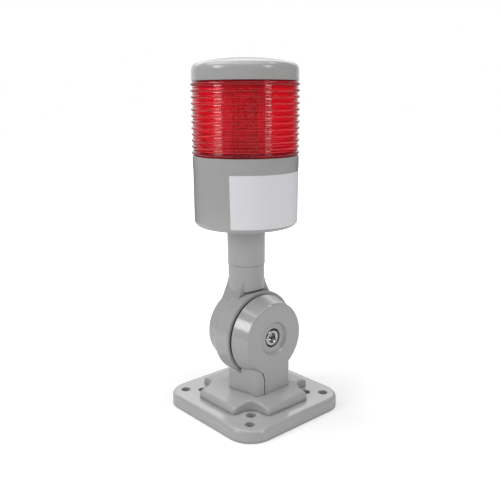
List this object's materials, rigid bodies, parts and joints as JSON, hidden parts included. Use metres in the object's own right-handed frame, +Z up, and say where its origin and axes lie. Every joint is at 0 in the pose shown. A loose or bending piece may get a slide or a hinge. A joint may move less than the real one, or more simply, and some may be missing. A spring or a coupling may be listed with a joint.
{
  "type": "stack light",
  "caption": "Single-tier red signal light: ribbed drum lens with a domed grey cap on a round body and tube that tilt on a square base with a clamped pivot.",
  "frame": {"origin": "centre of the base plate's underside, on the wall it is screwed to", "axes": "+Z up along the lamp's tube; +X towards the pivot bolt's head; the lamp tips about X towards -Y and +Y"},
  "size_m": [0.07, 0.07, 0.18],
  "materials": {
    "grey_abs": "satin moulded light grey",
    "friction_nylon": "matt",
    "bolt_steel": "bright plated",
    "zinc_steel": "zinc plated",
    "brass_nut": "turned",
    "label_film": "smooth film",
    "seal_rubber": "matt",
    "red_lens": "clear, ribbed",
    "circuit_board": "solder mask",
    "terminal_plastic": "matt",
    "capacitor_can": "sleeved",
    "black_plastic": "matt",
    "resistor_body": "lacquered",
    "white_plastic": "matt"
  },
  "bodies": {
    "base": {"base_plate": "grey_abs", "wire_cover": "grey_abs", "friction_ring": "friction_nylon"},
    "lamp": {"tilt_arm": "grey_abs", "lamp_body": "grey_abs", "cap": "grey_abs", "pivot_bolt": "bolt_steel", "spring_washer": "zinc_steel", "bolt_washer": "zinc_steel", "lock_nut": "zinc_steel", "blank_label": "label_film", "neck_washer": "zinc_steel", "neck_nut": "brass_nut", "lens_seal": "seal_rubber", "lens": "red_lens", "cap_seal": "seal_rubber", "driver_board": "circuit_board", "board_screws": "zinc_steel", "terminal_block": "terminal_plastic", "capacitor": "capacitor_can", "rectifier": "black_plastic", "resistors": "resistor_body", "led_carrier": "white_plastic", "led_board_1": "circuit_board", "led_row_1": "white_plastic", "led_board_2": "circuit_board", "led_row_2": "white_plastic", "led_board_3": "circuit_board", "led_row_3": "white_plastic", "led_board_4": "circuit_board", "led_row_4": "white_plastic"}
  },
  "joints": [
    {"name": "lamp_tilt", "type": "hinge", "parent": "base", "child": "lamp", "pos_m": [0, 0, 0.041], "axis": [1, 0, 0], "range_deg": [-90, 90]}
  ]
}
